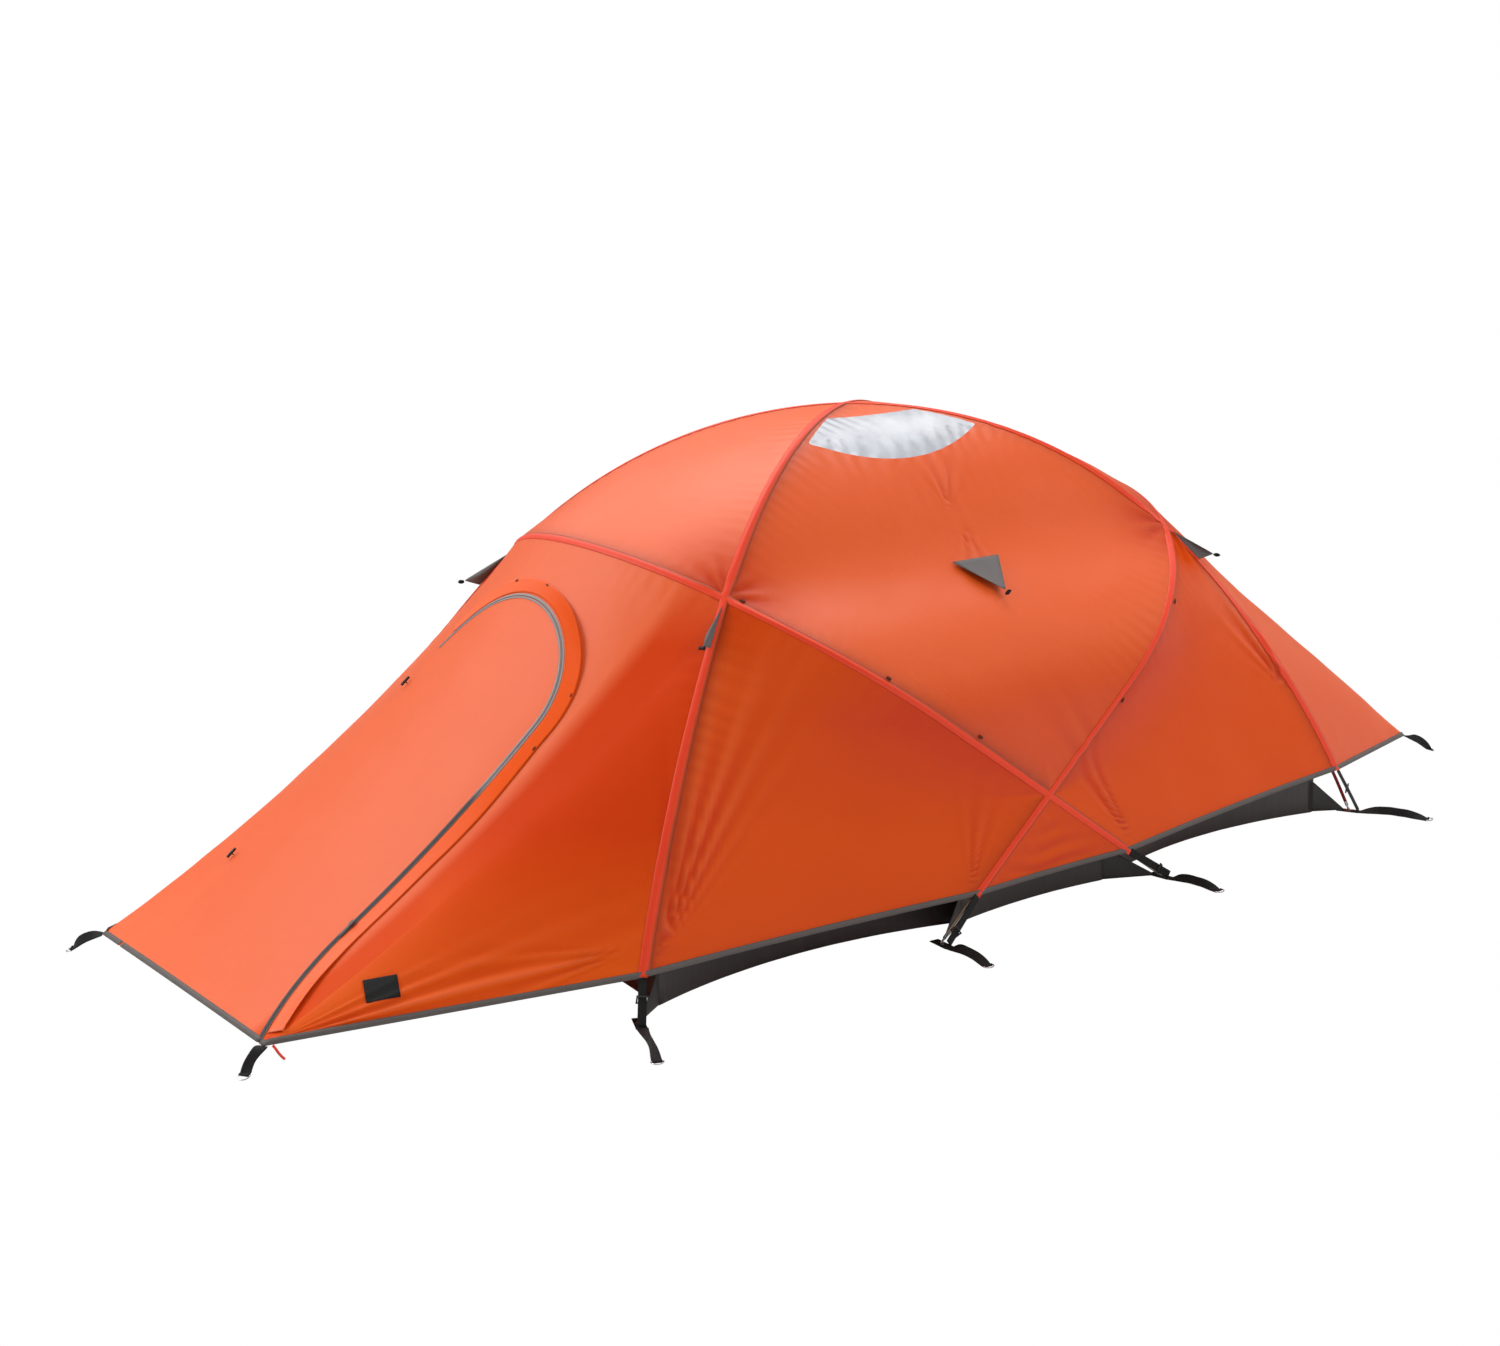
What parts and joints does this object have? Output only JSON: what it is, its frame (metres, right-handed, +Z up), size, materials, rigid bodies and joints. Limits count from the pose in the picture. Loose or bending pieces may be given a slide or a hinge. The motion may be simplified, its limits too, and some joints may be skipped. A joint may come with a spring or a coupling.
{
  "type": "geodesic tent",
  "caption": "Orange four-pole geodesic tent with crossing arches and hoops, front vestibule with an arched zip door, rear vestibule, skylight and webbing stake-out straps",
  "frame": {"origin": "On the ground under the apex, on the underside of the groundsheet", "axes": "+X to the rear vestibule, -X to the door, +Y to the far side in the picture, +Z up"},
  "size_m": [4.005, 2.0394, 1.2113],
  "materials": {
    "fly_orange": "coated ripstop nylon, light sheen",
    "seam_red": "folded and stitched seam tape",
    "trim_grey": "woven grey reinforcement cloth",
    "zip_grey": "zip tape with coil",
    "inner_yellow": "breathable uncoated nylon",
    "floor_grey": "coated floor nylon",
    "window_clear": "clear flexible film",
    "pole_red": "anodised dark red",
    "pole_champagne": "anodised champagne",
    "tip_grey": "turned, bare",
    "elastic_white": "braided elastic cord",
    "steel": "plated wire and eyelets",
    "webbing_black": "woven webbing",
    "clip_black": "moulded",
    "toggle_black": "moulded",
    "slider_metal": "die-cast slider with pull"
  },
  "bodies": {
    "tent": {"door_storm_flap": "fly_orange", "door_zip_tape": "zip_grey", "elastic_cords": "elastic_white", "eyelets": "steel", "fly_far_front_side": "fly_orange", "fly_far_lower_front": "fly_orange", "fly_far_lower_middle": "fly_orange", "fly_far_lower_rear": "fly_orange", "fly_far_rear_side": "fly_orange", "fly_far_side": "fly_orange", "fly_front_face": "fly_orange", "fly_front_top": "fly_orange", "fly_near_front_side": "fly_orange", "fly_near_lower_front": "fly_orange", "fly_near_lower_middle": "fly_orange", "fly_near_lower_rear": "fly_orange", "fly_near_rear_side": "fly_orange", "fly_near_side": "fly_orange", "fly_rear_face": "fly_orange", "fly_rear_top": "fly_orange", "fly_seam_a": "seam_red", "fly_seam_b": "seam_red", "fly_seam_c": "seam_red", "fly_seam_d": "seam_red", "foot_gussets": "floor_grey", "foot_tabs": "webbing_black", "guy_flaps": "trim_grey", "guy_loops": "webbing_black", "inner_clips": "clip_black", "inner_floor": "floor_grey", "inner_front_wall": "inner_yellow", "inner_lower_panels": "inner_yellow", "inner_rear_wall": "inner_yellow", "inner_side_panels": "inner_yellow", "inner_top_panels": "inner_yellow", "peg_rings": "steel", "pole_a": "pole_red", "pole_b": "pole_champagne", "pole_c": "pole_champagne", "pole_d": "pole_red", "pole_tips": "tip_grey", "skylight": "window_clear", "stake_straps": "webbing_black", "tension_straps": "webbing_black"},
    "buckle_a_far_body": {"buckle_a_far": "clip_black"},
    "buckle_a_near_body": {"buckle_a_near": "clip_black"},
    "buckle_b_far_body": {"buckle_b_far": "clip_black"},
    "buckle_b_near_body": {"buckle_b_near": "clip_black"},
    "buckle_c_far_body": {"buckle_c_far": "clip_black"},
    "buckle_c_near_body": {"buckle_c_near": "clip_black"},
    "buckle_d_far_body": {"buckle_d_far": "clip_black"},
    "buckle_d_near_body": {"buckle_d_near": "clip_black"},
    "fly_door_body": {"fly_door": "fly_orange"},
    "front_zip_slider_body": {"front_zip_slider": "slider_metal"},
    "inner_door_body": {"inner_door": "inner_yellow"},
    "inner_zip_slider_body": {"inner_zip_slider": "slider_metal"},
    "toggle_high_body": {"toggle_high": "toggle_black"},
    "toggle_low_body": {"toggle_low": "toggle_black"}
  },
  "joints": [
    {"name": "fly_door_swing", "type": "hinge", "parent": "tent", "child": "fly_door_body", "pos_m": [-1.98798, 0.335, 0.05164], "axis": [-0.8103, 0.0371, -0.5848], "range_deg": [0, 100]},
    {"name": "fly_zip_slide", "type": "slide", "parent": "tent", "child": "front_zip_slider_body", "axis": [0.8225, 0.028, 0.5681], "range_m": [0, 0.44]},
    {"name": "inner_door_drop", "type": "hinge", "parent": "tent", "child": "inner_door_body", "pos_m": [-1.0819, 0, 0.17644], "axis": [0, 1, 0], "range_deg": [0, 65]},
    {"name": "inner_zip_slide", "type": "slide", "parent": "tent", "child": "inner_zip_slider_body", "axis": [0.3493, 0, 0.937], "range_m": [0, 0.25]},
    {"name": "toggle_low_turn", "type": "hinge", "parent": "fly_door_body", "child": "toggle_low_body", "pos_m": [-1.69344, 0.30849, 0.2223], "axis": [-0.6337, 0, 0.7736], "range_deg": [-90, 90]},
    {"name": "toggle_high_turn", "type": "hinge", "parent": "fly_door_body", "child": "toggle_high_body", "pos_m": [-1.2055, 0.286, 0.57979], "axis": [-0.6337, 0, 0.7736], "range_deg": [-90, 90]},
    {"name": "buckle_a_far_tilt", "type": "hinge", "parent": "tent", "child": "buckle_a_far_body", "pos_m": [1.22617, 0.76541, 0.07018], "axis": [-0.8936, 0.4167, -0.167], "range_deg": [0, 24]},
    {"name": "buckle_a_near_tilt", "type": "hinge", "parent": "tent", "child": "buckle_a_near_body", "pos_m": [-1.23178, -0.76888, 0.05632], "axis": [0.8971, -0.4183, -0.1425], "range_deg": [0, 24]},
    {"name": "buckle_b_far_tilt", "type": "hinge", "parent": "tent", "child": "buckle_b_far_body", "pos_m": [0.36369, 0.83567, 0.0317], "axis": [-0.5605, 0.0589, -0.826], "range_deg": [0, 24]},
    {"name": "buckle_b_near_tilt", "type": "hinge", "parent": "tent", "child": "buckle_b_near_body", "pos_m": [0.36369, -0.83567, 0.0317], "axis": [0.5605, 0.0589, 0.826], "range_deg": [0, 24]},
    {"name": "buckle_c_far_tilt", "type": "hinge", "parent": "tent", "child": "buckle_c_far_body", "pos_m": [-0.36369, 0.8428, 0.03169], "axis": [-0.5638, -0.0593, 0.8238], "range_deg": [0, 24]},
    {"name": "buckle_c_near_tilt", "type": "hinge", "parent": "tent", "child": "buckle_c_near_body", "pos_m": [-0.36369, -0.8428, 0.03169], "axis": [0.5638, -0.0593, -0.8238], "range_deg": [0, 24]},
    {"name": "buckle_d_far_tilt", "type": "hinge", "parent": "tent", "child": "buckle_d_far_body", "pos_m": [-1.23178, 0.76888, 0.05632], "axis": [-0.8971, -0.4183, 0.1425], "range_deg": [0, 24]},
    {"name": "buckle_d_near_tilt", "type": "hinge", "parent": "tent", "child": "buckle_d_near_body", "pos_m": [1.22617, -0.76541, 0.07018], "axis": [0.8936, 0.4167, 0.167], "range_deg": [0, 24]}
  ]
}
